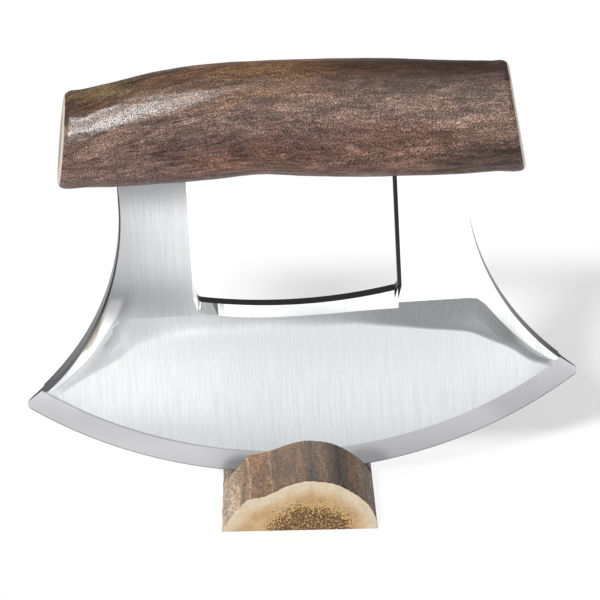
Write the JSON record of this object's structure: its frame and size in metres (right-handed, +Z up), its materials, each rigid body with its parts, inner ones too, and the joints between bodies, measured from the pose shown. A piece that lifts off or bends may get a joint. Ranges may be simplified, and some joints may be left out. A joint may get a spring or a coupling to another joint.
{
  "type": "ulu knife",
  "caption": "Ulu knife with a curved steel blade on two arms, an antler handle across the top, and a slotted antler stand that holds it edge down.",
  "frame": {"origin": "centre of the stand's flat sawn base", "axes": "+X along the blade to the right of someone facing its front, +Y away from that viewer, +Z up"},
  "size_m": [0.153, 0.05, 0.1321],
  "materials": {
    "blade_steel": "satin with brushed faces and a polished rim",
    "handle_antler": "semi-gloss polished bark",
    "tang_resin": "gloss",
    "stand_antler": "semi-gloss bark with pale sawn faces"
  },
  "bodies": {
    "stand": {"stand": "stand_antler"},
    "knife": {"blade": "blade_steel", "handle": "handle_antler", "left_tang_epoxy": "tang_resin", "right_tang_epoxy": "tang_resin"}
  },
  "joints": [
    {"name": "lift_out", "type": "slide", "parent": "stand", "child": "knife", "axis": [0, 0, 1], "range_m": [0, 0.04]}
  ]
}
